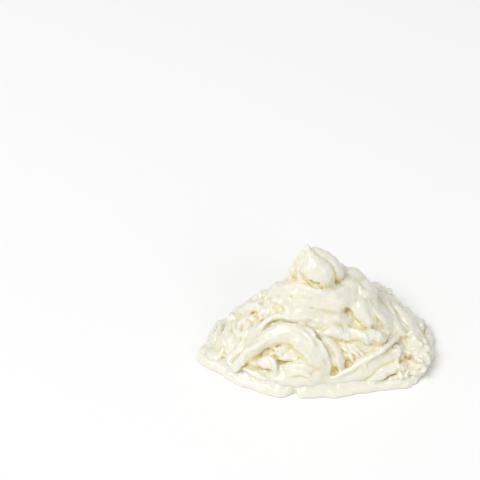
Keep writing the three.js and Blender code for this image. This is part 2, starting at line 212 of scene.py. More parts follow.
class Clay:
    """A block of cells that hold their distance to the skin, below 0 inside it. Each cell also
    holds its grain: where it lies across, over and along the strand that it belongs to."""

    def __init__(self, low, high):
        self.low = np.array(low, float)
        counts = np.ceil((np.array(high) - self.low) / CELL).astype(int) + 1
        self.shape = tuple(counts)
        self.axes = [self.low[i] + CELL * np.arange(count) for i, count in enumerate(counts)]
        self.field = np.empty(self.shape, np.float32)
        self.grain = np.empty((*self.shape, 3), np.float32)

    def spread(self):
        return np.meshgrid(*self.axes, indexing="ij", sparse=True)

    def spots(self, cells):
        return np.stack([axis[cell] for axis, cell in zip(self.axes, cells)], 1)

    def near(self, line, reach):
        """The cells within reach of a line, and the number of its nearest point for each."""
        low = np.maximum(np.floor((line.min(0) - reach - self.low) / CELL), 0).astype(int)
        high = np.minimum(np.ceil((line.max(0) + reach - self.low) / CELL) + 1, self.shape).astype(int)
        best = np.full(np.maximum(high - low, 1), reach**2, np.float32)
        nearest = np.full(best.shape, -1, np.int32)
        for number, point in enumerate(line):
            a = np.maximum(np.ceil((point - reach - self.low) / CELL).astype(int), low)
            b = np.minimum(np.floor((point + reach - self.low) / CELL).astype(int) + 1, high)
            if (b <= a).any():
                continue
            x, y, z = ((axis[i:j] - c) ** 2 for axis, i, j, c in zip(self.axes, a, b, point))
            apart = (x[:, None, None] + y[None, :, None] + z[None, None, :]).astype(np.float32)
            window = tuple(slice(i - l, j - l) for i, j, l in zip(a, b, low))
            closer = apart < best[window]
            best[window][closer] = apart[closer]
            nearest[window][closer] = number
        cells = np.nonzero(nearest >= 0)
        return tuple(cell + l for cell, l in zip(cells, low)), nearest[cells]

    def read(self, points):
        """The field between the cells, at each point."""
        place = (points - self.low) / CELL
        first = np.clip(np.floor(place).astype(int), 0, np.array(self.shape) - 2)
        part = np.clip(place - first, 0, 1)
        total = np.zeros(len(points))
        for offset in itertools.product((0, 1), repeat=3):
            weight = np.prod(np.where(offset, part, 1 - part), axis=1)
            total += weight * self.field[tuple((first + offset).T)]
        return total

    def slope(self, points):
        """The field's direction of growth, which on the skin is its normal."""
        step = 0.6 * CELL
        sides = [self.read(points + step * axis) - self.read(points - step * axis) for axis in np.eye(3)]
        return np.stack(sides, 1) / (2 * step)

    def rest_on_skin(self, route):
        """Route points [x, y, rise], with the rise counted from the skin as sculpted so far."""
        route = np.asarray(route, float)
        x, y = route[:, 0], route[:, 1]
        foot = np.stack([x, y, mound_height(x, y)], 1)
        normal = mound_normal(x, y)
        heights = np.arange(11, -3, -0.4 * CELL)
        probes = foot[:, None] + heights[:, None] * normal[:, None]
        inside = self.read(probes.reshape(-1, 3)).reshape(len(route), -1) < 0
        skin = np.where(inside.any(1), heights[inside.argmax(1)], 0)
        return foot + (skin + route[:, 2])[:, None] * normal, normal

    def rest_on_mound(self, route):
        """Route points [x, y, rise], with the rise counted from the bare mound."""
        route = np.asarray(route, float)
        x, y = route[:, 0], route[:, 1]
        normal = mound_normal(x, y)
        return np.stack([x, y, mound_height(x, y)], 1) + route[:, 2:] * normal, normal

    def fuse(self, cells, piece, grain, blend):
        """Joins a piece on. Blend rounds the crease between the two."""
        base = self.field[cells]
        self.grain[cells] = np.where((piece < base)[:, None], grain, self.grain[cells])
        self.field[cells] = soft_min(base, piece, blend)

    def strand(self, points, facing, width, thickness=None, twist=0.0, lumps=0.0, ridges=0.14,
               ridge_pitch=1.1, spin=0.0, blend=0.45, melt=0.0, seed=0, blunt_power=4):
        """A strand of curd along a line. Its broad side faces the given way, ridges run along
        it, lumps swell it, and twist turns it over, in whole turns from end to end. It melts into
        what lies beside it at its ends, here and there along it, and on the side given by melt."""
        thickness = width if thickness is None else thickness
        line, length = smooth_line(points)
        t = np.linspace(0, 1, len(line))
        forward = unit(np.gradient(line, axis=0))
        faces = np.stack([along(facing[:, i], t) for i in AXES], 1)
        across = unit(np.cross(faces, forward))
        over = np.cross(forward, across)
        turn = 2 * np.pi * twist * t
        axis_u = across * np.cos(turn)[:, None] + over * np.sin(turn)[:, None]
        axis_v = over * np.cos(turn)[:, None] - across * np.sin(turn)[:, None]
        stretch = np.stack([t * length / 3.2, np.full_like(t, seed * 7.7), np.zeros_like(t)], 1)
        swell = 1 + lumps * (np.sin(7 * np.pi * t) + 1.3 * noise(stretch, seed))
        blunt = np.sqrt(np.maximum(1 - np.abs(2 * t - 1) ** blunt_power, 0.004)) * swell
        half_u = 0.5 * along(width, t) * blunt
        half_v = 0.5 * along(thickness, t) * blunt
        reach = float(np.maximum(half_u, half_v).max()) + 2.4 * blend + 0.8
        cells, number = self.near(line, reach)
        off = self.spots(cells) - line[number]
        u = np.einsum("ij,ij->i", off, axis_u[number])
        v = np.einsum("ij,ij->i", off, axis_v[number])
        step = np.einsum("ij,ij->i", off, forward[number])
        past = np.where(number == 0, np.maximum(-step, 0), 0)
        past = np.where(number == len(line) - 1, np.maximum(step, 0), past)
        a = np.maximum(half_u[number], 0.12)
        b = np.maximum(half_v[number], 0.12)
        c = np.minimum(a, b)
        scaled = np.sqrt((u / a) ** 2 + (v / b) ** 2 + (past / c) ** 2)
        steep = np.sqrt((u / a**2) ** 2 + (v / b**2) ** 2 + (past / c**2) ** 2)
        piece = scaled * (scaled - 1) / np.maximum(steep, 1e-3)
        run = t[number] * length + step
        if ridges > 0:
            close = np.abs(piece) < 1.5
            roll = 2 * np.pi * spin * run[close]
            uu = u[close] * np.cos(roll) - v[close] * np.sin(roll)
            vv = u[close] * np.sin(roll) + v[close] * np.cos(roll)
            spots = np.stack([uu / ridge_pitch, vv / ridge_pitch, run[close] / (9 * ridge_pitch)], 1)
            fade = np.minimum(a[close] / 1.2, 1)
            piece[close] -= ridges * fade * puffs(spots, seed)
        patchy = noise(np.stack([run / 5, u / 6, np.full_like(run, seed * 3.3)], 1), 90)
        softer = 1 + 1.6 * np.abs(2 * t[number] - 1) ** 6 + 1.2 * np.maximum(patchy, 0)
        softer += 2 * np.abs(melt) * smoothstep(-0.3, 1, np.sign(melt) * u / a)
        self.fuse(cells, piece, np.stack([u, v, run + 37.0 * seed], 1), blend * np.minimum(softer, 3))

    def pit(self, place, normal, radius, depth, blend=0.7):
        """A round hollow pressed into the skin."""
        cells, _ = self.near(place[None], radius + blend + 1)
        off = self.spots(cells) - place
        out = off @ normal
        side = np.linalg.norm(off - out[:, None] * normal, axis=1)
        uneven = 1 + 0.4 * noise((off + place) / 1.4, 61)
        hole = np.sqrt(side**2 + (out * radius / depth) ** 2) - radius * uneven
        self.field[cells] = soft_max(self.field[cells], -hole, blend)


# ---------------------------------------------------------------- the shreds that show

def shred(width, thickness=None, blend=0.45, **more):
    """A shred's width along the mound, its thickness off it, both in full, and how softly it joins."""
    return dict(width=width, thickness=thickness, blend=blend, **more)


# Routes are [x, y, rise]. A rise is counted from the bare mound, or with skin=True from what
# is sculpted so far.
DRAPES = {
    "collarLow": shred(6, 2.6, 1.6, ridges=0.06, route=[
        [-14, -5, 0], [-10, -7.7, 0.5], [-5, -10, 0.8], [-0.4, -10.6, 1], [4, -10.6, 1], [9, -9, 0.4]]),
    "collar": shred(9, 3.6, 2.2, ridges=0.08, route=[
        [-15, 2, 0], [-12, -1, 0.8], [-6, -5, 1.3], [0, -7, 1.6], [6, -7, 1.8], [10.5, -5, 1.8],
        [12.5, -1, 0.8]]),
    "collarEdge": shred(4.4, 2.4, 1.0, melt=1, ridges=0.07, route=[
        [-7.6, -5.4, 0.4], [-4.8, -6.9, 1], [-0.1, -8.5, 1.5], [4.9, -8.9, 1.9], [8.6, -8.4, 2],
        [11.4, -6.4, 2], [12.4, -3.8, 1.8], [11.6, -1.6, 1.2]]),
    "collarMiddle": shred(3, 1.5, 0.9, ridges=0.05, skin=True, route=[
        [-8.8, -3.7, 0], [-4.9, -5.1, 0], [-0.5, -6.6, 0.1], [4.5, -6.8, 0.1], [7.9, -5.6, 0.1],
        [10.4, -2.8, 0]]),
    "collarUpper": shred(2.6, 1.5, 0.8, ridges=0.05, skin=True, route=[
        [-15.3, 2, 0], [-10.9, -2.3, 0.1], [-6, -3.4, 0.1], [-2, -4.6, 0.2], [2.4, -5, 0.2],
        [6, -4.2, 0]]),
    "shoulder": shred([5, 7, 8, 7, 5], 6, 1.8, route=[
        [9, 4, 1], [13, 5.5, 2], [17, 4.5, 1.8], [19, 0, 1.6], [20, -5, 0.4]]),
    "egg": shred([4, 7, 7.6, 5.4], 4.2, 1.2, ridges=0.06, route=[
        [15.2, 6.4, 0.8], [17.4, 4, 1.6], [19, 0, 1.7], [19.4, -4, 0.8]]),
    "sheetInner": shred([6, 8.4, 8.4, 6], 3, 2.2, ridges=0.06, route=[
        [13.4, -0.6, 0.4], [15.4, -4.6, 0.9], [17.6, -8.6, 0.9], [20.4, -11.8, 0.3]]),
    "sheetOuter": shred([5, 8, 8, 6], 3, 2.2, ridges=0.06, route=[
        [20.4, 0.6, 0.4], [23.2, -3.4, 0.9], [26.4, -7, 0.9], [29.6, -10, 0.3]]),
    "lobeFront": shred(3, 2, 0.6, ridges=0.06, skin=True, route=[
        [14.3, -0.3, 0], [15.8, -1.9, 0.3], [17.5, -3.1, 0.4], [19.4, -3.3, 0]]),
    "lobeSide": shred(3, 2, 0.7, ridges=0.08, route=[
        [11.1, 4, 0.6], [11.3, -0.9, 1], [13.4, -3, 0.9], [15.5, -5.7, 0.5], [16.8, -9.3, 0]]),
    "softInner": shred(2.8, 1, 1.2, ridges=0.06, skin=True, route=[
        [16.1, -4.5, -0.2], [17.1, -7.6, 0.1], [18, -9.6, 0.1], [19.6, -11.4, -0.2]]),
    "softOuter": shred(3, 1, 1.2, ridges=0.06, skin=True, route=[
        [20.7, -2.3, -0.2], [21.7, -6.9, 0.1], [24, -8.7, 0.1], [27.4, -9.4, -0.2]]),
    "wallFoot": shred([5, 7, 7.6, 7, 5], 5.4, 1.4, ridges=0.25, ridge_pitch=1.4, route=[
        [37.4, 1, 0.4], [38.9, -6, 1.2], [39.3, -12, 2], [38.8, -17.4, 2.4], [36.4, -22, 1.8]]),
    "wallUpper": shred([4, 6, 6, 4], 4, 1.4, ridges=0.2, ridge_pitch=1.4, route=[
        [35, 3, 0.8], [36.6, -3.6, 1.4], [37, -9.4, 1.9], [36, -14.4, 1.8]]),
    "sweepLeft": shred(4.4, 2, 1.4, ridges=0.06, route=[
        [-13, -9, 0], [-7, -12, 0.6], [0, -13, 0.8], [7, -13, 0.6], [12, -12, 0]]),
}

LEFT_SHREDS = {
    "tip": shred([5, 6.4, 6, 4.6], 5, 1.0, ridges=0.06, route=[
        [-43.6, -6.5, 1], [-41.6, -9.4, 1.4], [-38.5, -12, 1.5], [-35.6, -15, 0.6]]),
    "tipLow": shred([4, 5, 4], 4, 1.2, ridges=0.06, route=[
        [-42.6, -10, 0.6], [-40, -13.2, 0.8], [-37, -16.4, 0.4]]),
    "outer": shred(2.8, 2.4, 0.8, route=[
        [-37.5, 3, 0.4], [-38.7, 0, 0.9], [-39.3, -4.3, 0.8], [-41, -6, 0.2]]),
    "second": shred(3.2, 2.6, 0.8, route=[
        [-34.6, 4, 0.3], [-35.8, 1.4, 0.9], [-36.6, -2.1, 1], [-38.1, -5.2, 0.7], [-40, -7.3, 0]]),
    "third": shred(2.8, 2.2, 0.8, route=[
        [-34.5, -3.4, 0.3], [-35.3, -7, 1], [-37.1, -9.3, 0.8], [-39, -10, 0]]),
    "long": shred([2.4, 3.2, 3.4, 2.4], 2.8, 0.8, route=[
        [-32.4, 1.5, 0.3], [-32.6, -3, 1.1], [-32.8, -7, 1.3], [-32.4, -11, 1], [-31.3, -14.6, 0]]),
    "hook": shred([2.2, 3, 3.2, 2.6], 2.6, 0.8, route=[
        [-30.6, -1.6, 0.3], [-30, -6, 1.1], [-28.4, -10, 1.5], [-26.6, -10.4, 1.2], [-25.8, -7, 0.2]]),
    "fourth": shred(2.8, 2.2, 0.8, route=[
        [-28.6, -9.6, 0.2], [-30.8, -12.1, 0.9], [-32.4, -13.6, 0.9], [-34.9, -14.6, 0]]),
    "fifth": shred(3.4, 2.4, 0.8, route=[
        [-25.4, -7.6, 0.3], [-25.8, -11.4, 0.9], [-28.1, -14.2, 1.1], [-30.9, -16, 0.8],
        [-33.6, -17.4, 0]]),
    "sixth": shred(3, 2.2, 0.8, route=[
        [-22, -8.6, 0.3], [-22.8, -12, 1.1], [-24.4, -15, 1.1], [-27.4, -17, 0.4]]),
    "topFold": shred(3.2, 2.6, 0.8, route=[
        [-28.6, 1, 0.2], [-24.8, -1, 1], [-21.6, -2.6, 1], [-19.8, -5.8, 0.2]]),
    "loopUpper": shred(3, 2.6, lumps=0.12, route=[[-17, -1, 0], [-14.4, -4.6, 0.9], [-10, -6.4, 0.3]]),
    "loop": shred([2, 2.6, 2.6, 2.4, 2], 2.4, 0.8, route=[
        [-9, -12.6, 0], [-12, -10.2, 1.4], [-16, -9.6, 1.5], [-20, -12, 1.4], [-24, -14, 0.3]]),
}

FRONT_SHREDS = {
    "lowEdge": shred(6.4, 4.2, 1.6, ridges=0.06, route=[
        [-18, -24.6, 0], [-11.6, -25.6, 0.9], [-5.9, -26, 1.2], [0.1, -26, 1], [5, -26, 0]]),
    "footLeft": shred([1.8, 2.4, 2.2, 1.4], 2, 0.5, ridges=0.08, route=[
        [-27, -20.2, 0.6], [-23.5, -22.7, 1.4], [-20.6, -24.4, 1.3], [-16.6, -26.1, 0.2]]),
    "archFill": shred([5, 6.4, 7, 7, 6], 4.4, 1.2, ridges=0.3, ridge_pitch=1.6, route=[
        [-18, -19, -0.6], [-14, -18.6, 0.6], [-9.5, -18.6, 0.9], [-5, -20.4, 0.6], [-1, -22.4, 0]]),
    "pile": shred([4, 5.6, 6.4, 6, 4.6], 4.6, 0.9, ridges=0.16, ridge_pitch=2.2, lumps=0.06, route=[
        [-16, -23.6, 0], [-10.3, -23.4, 0.8], [-5.7, -23.4, 1.1], [-1.6, -24.3, 1], [2.4, -25.4, 0.4]]),
    "pileFold": shred([1.4, 2, 1.8, 1.2], 1.4, 0.5, ridges=0.05, skin=True, route=[
        [-11, -24.6, -0.2], [-7, -24.2, 0.1], [-3.6, -24.8, 0.1], [-0.4, -26.2, -0.2]]),
    "pileFoldHigh": shred([1.2, 1.8, 1.6], 1.2, 0.5, ridges=0.05, skin=True, route=[
        [-7.4, -21.6, 0], [-4.6, -22.4, 0.1], [-2, -23.6, -0.1]]),
    "bump": shred([3.6, 5, 5, 3.4], 4, 1.1, ridges=0.12, route=[
        [-22.4, -20.6, 0.2], [-19, -20.8, 1.5], [-16.6, -21.4, 1.7], [-15.4, -23.2, 0.7]]),
    "bumpEdge": shred(1.8, 1.6, 0.6, ridges=0.05, skin=True, route=[
        [-18.4, -19.6, 0], [-16.4, -20.4, 0.3], [-15.2, -22, 0.4], [-15.3, -24, 0]]),
    "tongue": shred([2.6, 3.6, 3.6, 2.2], 2.8, 0.6, skin=True, route=[
        [-14, -20.4, 0], [-11.3, -19.9, 0.6], [-8.6, -20.6, 0.5], [-6.8, -21.9, 0]]),
    "archFold": shred(3.4, 3, 0.5, route=[
        [2.2, -16.9, 1], [5.2, -18.3, 1.9], [7.6, -19.8, 2], [8.9, -21.6, 1.5], [9, -23.6, 0.3]]),
    "archFoldInner": shred(2.4, 2.4, 0.5, route=[
        [2.6, -17.4, 1], [4.5, -19.4, 1.5], [5.7, -21.2, 1.3], [6.3, -22.8, 0.3]]),
    "cordBed": shred(4, 2.6, 1.4, ridges=0.08, route=[
        [28, -15.2, 0.7], [23.4, -19.2, 1], [19, -21, 1], [15.7, -22.5, 0.8], [11, -24.6, 0.4]]),
    "rollBed": shred(4.6, 2.6, 1.4, ridges=0.08, route=[
        [4.6, -16.8, 0.3], [9, -16.4, 0.9], [13.2, -16.4, 1], [18, -16.9, 1], [23.4, -16.4, 0.7]]),
    "pocketFloor": shred(3, 2, 1.0, ridges=0.06, skin=True, route=[
        [5.4, -21.4, -0.3], [6.4, -23.4, 0], [7.6, -25, -0.1]]),
    "rightLow": shred(5, 3.4, 1.2, ridges=0.06, route=[
        [9, -25.5, 0.4], [15, -24.4, 0.9], [22, -21.6, 0.8], [29, -18.4, 0.6], [35, -14, 0.2]]),
    "ridgeLow": shred([2.6, 3.8, 4, 3.6, 2.4], 3.2, 0.7, lumps=0.08, route=[
        [19, -25.2, 0.2], [23.9, -23.4, 1.3], [27.8, -21.7, 1.6], [31.9, -20, 1.3], [36, -18, 0.2]]),
    "rightFoot": shred([3, 4.4, 5, 4], 3.6, lumps=0.15, route=[
        [27, -24.4, 0.2], [31.5, -23, 1], [36, -20, 1.2], [40, -16, 0.4]]),
    "rightWall": shred(4.4, lumps=0.15, route=[
        [42.6, 7, 0.2], [44, 1, 0.6], [44.6, -5, 0.7], [44, -11, 0.7], [41.4, -17.6, 0.3]]),
    "fanFill": shred([5, 7.4, 7.4, 5], 3.4, 1.2, ridges=0.25, ridge_pitch=1.2, route=[
        [6, -18.4, 0], [11, -19, 0.5], [17, -18.4, 0.5], [22.6, -17.2, 0]]),
    "fanFirst": shred([1.4, 2, 2.2, 1.4], 1.8, 0.4, skin=True, route=[
        [9.6, -16.4, 0], [11.4, -18.5, 0.3], [12.8, -20.4, 0.4], [13.6, -21.6, 0]]),
    "fanSecond": shred(1.7, 1.5, 0.4, skin=True, route=[
        [12, -16.6, 0], [14.4, -18.4, 0.3], [16, -20, 0]]),
    "fanThird": shred(1.5, 1.3, 0.4, skin=True, route=[
        [14.1, -16.7, 0], [16.5, -18.4, 0.2], [18.2, -19.6, 0]]),
}

# Shreds that cross over the patches in front.
TOP_SHREDS = {
    "roll": shred([4, 5.4, 5.6, 5.2, 5.4, 5.8, 5.4, 3.8], [3.2, 4.2, 4.4, 4.2, 4.2, 4.6, 4.4, 3], 0.8,
        twist=2.2, lumps=0.06, ridges=0.22, ridge_pitch=1.5, spin=0.06, route=[
        [1.8, -17, 0], [5, -15.5, 1.6], [9, -14.9, 2.1], [13.2, -14.8, 2.2], [16.8, -15.4, 2.2],
        [20.4, -15.6, 2.2], [23.8, -15.2, 2], [27, -13.7, 0.8]]),
    "hairInner": shred([2, 2.8, 3.2, 3.2, 3, 2], 2.6, 0.4, ridges=0.1, route=[
        [23.6, 0.6, 0.2], [26.8, -3.2, 0.9], [29.4, -6.1, 1.4], [31.6, -8.1, 1.6], [34.6, -8.9, 1.3],
        [38.2, -8, 0.2]]),
    "hairSecond": shred(2.4, 2.2, 0.4, route=[
        [27.4, 3.4, 0.2], [30, -2.2, 1], [32.7, -5, 1.2], [35.8, -6.2, 1], [39, -6.4, 0]]),
    "hairThird": shred(2.4, 2.2, 0.4, route=[
        [29.6, 8, 0.2], [32.8, 2, 1], [36.2, -1.6, 1.2], [39.4, -3, 1.1], [42.4, -4.4, 0.1]]),
    "hairFourth": shred(2.4, 2, 0.4, route=[
        [33.4, 9.4, 0.2], [36.4, 6.6, 0.9], [40, 3.4, 1], [42.6, 1.4, 0.9], [44.6, -1, 0.1]]),
    "arch": shred([3.2, 4.6, 5.6, 6.6, 7.2, 8, 9, 9.6, 8.8, 6.8, 4.4],
        [3, 4, 5, 5.6, 5.8, 5.8, 5.8, 5.6, 5.2, 4.6, 3.2], 0.7, melt=0.5, lumps=0.03, ridges=0.2,
        ridge_pitch=2.2, route=[
        [-27, -18.8, 0.8], [-23.6, -17.6, 1.8], [-19.8, -16.4, 2.3], [-16.3, -15.5, 2.8], [-11.6, -15, 3],
        [-7.3, -15.8, 3.1], [-4.2, -18, 3.1], [-1.6, -20.2, 3], [0.4, -21.9, 2.6], [2.3, -23.6, 1.9],
        [3.8, -25.4, 0.5]]),
    "archLip": shred(3.2, 3, 0.9, ridges=0.1, route=[
        [-9.6, -16.4, 2.4], [-7.6, -18.2, 2.5], [-5.4, -20.4, 2.2], [-2.9, -22.1, 1.8], [0.6, -23.6, 1]]),
    "archHang": shred([2.6, 3.2, 3, 2], 2.6, 0.7, ridges=0.08, route=[
        [-11.4, -15.6, 2.6], [-11.4, -17, 2.6], [-12.4, -18, 2.5], [-14.2, -18.8, 1.8]]),
    "archRidge": shred([1.6, 2.4, 2.6, 2.4, 2, 1.4], 1.8, 0.6, ridges=0.06, skin=True, route=[
        [-6, -13.6, -0.3], [-0.8, -15.4, 0], [1.3, -17.6, 0.1], [2.3, -19.7, 0.2], [3.7, -21.6, 0.1],
        [4.7, -24, -0.2]]),
    "archSpine": shred([1.4, 2, 2, 1.4], 1.3, 0.6, ridges=0.05, skin=True, route=[
        [-6, -14.8, -0.3], [-3, -17.4, 0], [-1.5, -19.5, 0], [0.9, -21.2, -0.2]]),
    "archRope": shred([2, 3.2, 3.8, 4, 4, 4.2, 4.4, 2.4], 3.2, 0.6, twist=0.6, ridges=0.22,
        ridge_pitch=0.9, spin=0.02, route=[
        [-11.6, -14.6, 4.6], [-14.5, -15.6, 4.2], [-17.3, -16, 3.7], [-20.5, -16.6, 3.2],
        [-24.2, -17.2, 2.7], [-27.7, -18.2, 2.2], [-29.8, -19.5, 1.8], [-32.4, -20.6, 0.8]]),
    "cordTail": shred([1.4, 2.2, 2.4, 2.2, 1.4], 1.7, 0.8, ridges=0.08, route=[
        [13.4, -24, 0.4], [10.1, -25.4, 1], [7, -26.2, 1], [1.7, -27.8, 0.6], [-3, -28.4, 0]]),
    "cordLow": shred([2.6, 3, 2.6, 2.2, 2, 2, 1.8, 1.4], 2.2, 0.6, twist=1.2, ridges=0.16,
        ridge_pitch=0.7, spin=0.05, route=[
        [23.4, -18.5, 2.2], [21, -19.2, 2.5], [19, -20.1, 2.3], [15.7, -21.6, 2], [13.1, -22.8, 1.8],
        [9.9, -24, 1.5], [6.7, -25.1, 1.1], [3.6, -26.1, 0.2]]),
    "cordTop": shred([1.6, 2.2, 2.4, 2.4, 1.4], 2.1, 0.6, twist=0.6, ridges=0.12, ridge_pitch=0.7, route=[
        [32, -9.4, 0.8], [28.6, -14.3, 1.9], [25.8, -17, 2.2], [23.5, -18.5, 2.4], [21, -19.6, 1.4]]),
}

# Knots of the roll: [x, y, half its span across, width].
ROLL_KNOTS = [[6.4, -15.2, 1.4, 2.2], [12, -14.8, 1.3, 2], [17.6, -15.4, 1.3, 2], [22.4, -15.4, 1.5, 2.4]]

# The knob pulled up on top: [x, y, z] in the drawing frame.
KNOB_FACING = [0, -0.9, 0.45]
KNOB = {
    "neck": shred([7, 10, 12], blend=1.5, route=[[-2.5, 4, 42.5], [-0.5, 3, 37.5], [0.8, 2, 28]]),
    "back": shred([3, 6, 7.6, 8, 7], blend=1.4, lumps=0.05, ridges=0.3, ridge_pitch=1.8, route=[
        [-2.6, 4.4, 43.2], [-0.8, 6.2, 40], [1, 8, 36.4], [2.4, 10, 32.4], [3.4, 12, 28.5]]),
    "left": shred([2.4, 3.8, 4.4, 5.2, 5.6], blend=0.8, lumps=0.06, ridges=0.2, ridge_pitch=1.6, route=[
        [-4.4, 3.2, 45.2], [-5.1, 3.2, 42.3], [-5.9, 3, 39.3], [-7.4, 2.8, 35.6], [-10, 2.2, 30]]),
    "leftFill": shred([3, 5, 7, 8], blend=1.4, route=[
        [-4.6, 2, 43], [-4.8, 1, 39.6], [-4.4, 0, 36], [-3.6, -1, 32]]),
    "leftFold": shred([1.8, 2.6, 2.8, 2], blend=0.5, route=[
        [-4.8, 0.8, 44], [-5.5, 0, 41], [-5.8, -0.8, 38], [-6.2, -1.6, 35.4]]),
    "right": shred([3, 5, 6.4, 7, 6.6, 5], blend=0.9, ridges=0.08, route=[
        [-2.8, 2.8, 46], [-0.4, 2.6, 44], [2.8, 2, 41.2], [5.7, 1.4, 38.2], [7.5, 0.8, 35],
        [8.4, 0.6, 31.4]]),
    "rightRim": shred([1.8, 2.6, 2.6, 2.6, 1.8], blend=0.5, ridges=0.05, route=[
        [1.6, 2.4, 43.9], [4.4, 1.8, 41.8], [6.8, 1.2, 39.3], [8.5, 0.6, 36.2], [9.1, 0.2, 33]]),
    "front": shred([2.6, 4, 7, 10.4, 11.4, 9.6, 7.6, 5], [2.6, 4, 6, 8, 8.6, 7.6, 6, 4], 0.7, ridges=0.1,
        ridge_pitch=2.6, route=[
        [-4, 2.2, 47.6], [-3.5, 1.4, 46], [-2.4, 0.2, 42.7], [-0.7, -1.8, 39.8], [1.2, -3, 37.6],
        [3.2, -3.6, 35.2], [4.6, -3.4, 33], [5.2, -2.6, 31.2]]),
    "tip": shred([2.3, 2.7, 2.2], blend=0.7, ridges=0.0, route=[
        [-4.3, 2.2, 48.3], [-3.9, 1.8, 46.8], [-3.3, 1, 44.8]]),
}

# Rounded curds along the mound's upper edges: [x, y, rise, full width].
CURDS = [
    [-16, 2, 0, 4.4], [-21, 3, 0, 4], [-26, 5, 0, 4.4], [-32, 6, 0, 4], [-37, 5, 0, 4], [-22, -1, 0, 3.4],
    [-15.6, -4.7, 0.2, 3], [-17.8, -0.7, 0.1, 3], [-9.5, -4.2, 0.4, 2.4], [-12.1, -4.8, 0.4, 2.4],
    [-8.9, -6.9, 0.4, 2.2], [-13.8, -6.2, 0.3, 2.2], [-26, -10, 0.2, 3], [-30, -19, 0.4, 3.2],
    [24, 9, 0.2, 4.4], [30, 8, 0.2, 4.2], [36, 6, 0.2, 4.4], [14.4, 2, 1.4, 2.6], [34.3, -10.8, 0.5, 2.6],
    [37, -10.6, 0.5, 2.6], [39.9, -6.6, 0.5, 2.4], [41.7, -7.4, 0.4, 2.4], [40.8, -10.4, 0.5, 2.8],
    [33.6, -13.6, 0.4, 2.4], [40.8, -13.2, 0.5, 3], [38.1, -15.4, 0.6, 2.6], [42.4, -15, 0.4, 2.8],
    [39.7, -17.6, 0.5, 2.6], [40.9, -19.3, 0.3, 2.6], [38.5, -20.6, 0.3, 2.4], [35.7, -20.8, 0.6, 2.2],
    [34, -22.4, 0.5, 2.2], [44.6, -6, 1.0, 3.4], [44.4, -10.2, 1.2, 3.6], [42.8, -14.6, 1.2, 3.6],
    [40.6, -18.6, 1.0, 3.4], [37.6, -21.8, 1.0, 3.2], [34, -24.4, 0.8, 3.0], [44.8, -1.6, 0.8, 3.4],
    [44.2, 3, 0.6, 3.4],
]

# The lie of the curd over the mound: middle of each stretch and its spread, the way its folds
# run in degrees, the width of a fold, its length, and how far it stands out.
FOLDS = [
    [(-20, 1), (12, 7), -140, 2.6, 4, 0.7],
    [(-31, -6), (10, 9), -100, 3.0, 9, 0.9],
    [(-20, -10), (8, 6), -120, 2.8, 9, 0.7],
    [(-2, -11), (12, 5), -12, 2.8, 14, 0.25],
    [(17, -6), (8, 6), -65, 4.0, 14, 0.22],
    [(30, -3), (11, 8), -32, 2.8, 18, 0.55],
    [(38, 2), (7, 8), -40, 2.8, 6, 0.55],
    [(11, -19), (7, 4), -60, 2.0, 9, 0.45],
    [(33, -17), (10, 7), -20, 2.0, 3, 0.7],
    [(-9, -21), (10, 4), -20, 2.6, 5, 0.5],
    [(-22, 14), (14, 12), 120, 3.6, 11, 0.8],
    [(2, 20), (14, 12), 80, 3.6, 12, 0.8],
    [(24, 14), (14, 12), 45, 3.4, 11, 0.8],
]
SWIRL = dict(centre=(3, 4, 33), reach=14, wave=2.6, length=16, height=0.3)

# Patches of small shreds: middle, spread, how many, heading and its swing in degrees, length,
# width, thickness, the blend of their creases and their curl in degrees. With downhill=True a
# heading is counted from straight down the slope. Edge is how far to the foot they may reach.
PATCHES = {
    "upperLeft": dict(at=(-21, 0), spread=(12, 6), count=34, heading=-140, swing=60, length=(2.5, 4.5),
        width=(1.8, 3), thick=(1.0, 1.6), blend=0.6, curl=30),
    "left": dict(at=(-29, -7), spread=(9, 8), count=18, heading=-105, swing=25, length=(6, 11),
        width=(2.0, 3.4), thick=(0.9, 1.4), blend=0.6, curl=25),
    "leftMid": dict(at=(-20, -10), spread=(7, 6), count=10, heading=-125, swing=25, length=(6, 10),
        width=(1.8, 3.0), thick=(0.8, 1.2), blend=0.6, curl=25),
    "centre": dict(at=(-3, -12), spread=(10, 3), count=8, heading=-15, swing=16, length=(6, 12),
        width=(1.6, 2.6), thick=(0.5, 0.8), blend=0.8, curl=15),
    "rightHair": dict(at=(32, -1), spread=(8, 7), count=16, heading=-36, swing=10, length=(9, 15),
        width=(1.6, 2.6), thick=(0.7, 1.1), blend=0.6, curl=12),
    "rightEdge": dict(at=(37, 5), spread=(8, 5), count=24, heading=-40, swing=40, length=(3, 7),
        width=(1.8, 3.0), thick=(0.8, 1.2), blend=0.6, curl=20),
    "back": dict(at=(0, 16), spread=(36, 15), count=64, heading=0, swing=30, length=(7, 14),
        downhill=True, width=(2.4, 4.4), thick=(0.8, 1.4), blend=0.9, curl=22),
    "backCurds": dict(at=(0, 15), spread=(34, 14), count=44, heading=0, swing=90, length=(1.6, 3.4),
        downhill=True, width=(1.8, 3.0), thick=(0.8, 1.4), blend=0.6, curl=20),
}
# Patches strewn over the shreds in front.
LATE_PATCHES = {
    "fan": dict(at=(10.5, -19), spread=(6, 2.6), count=8, heading=-55, swing=14, length=(3.5, 6),
        width=(1.0, 1.6), thick=(0.6, 1.0), blend=0.4, curl=12),
    "lowerRight": dict(edge=1.03, at=(37, -15), spread=(9, 9), count=80, heading=-10, swing=80,
        length=(1.4, 2.8), width=(1.1, 2.1), thick=(0.7, 1.1), blend=0.35, curl=20),
    "fibres": dict(at=(-16.2, -18.4), spread=(1.8, 1.4), count=8, heading=-10, swing=25,
        length=(1.6, 2.6), width=(0.9, 1.4), thick=(0.5, 0.8), blend=0.5, curl=20),
}

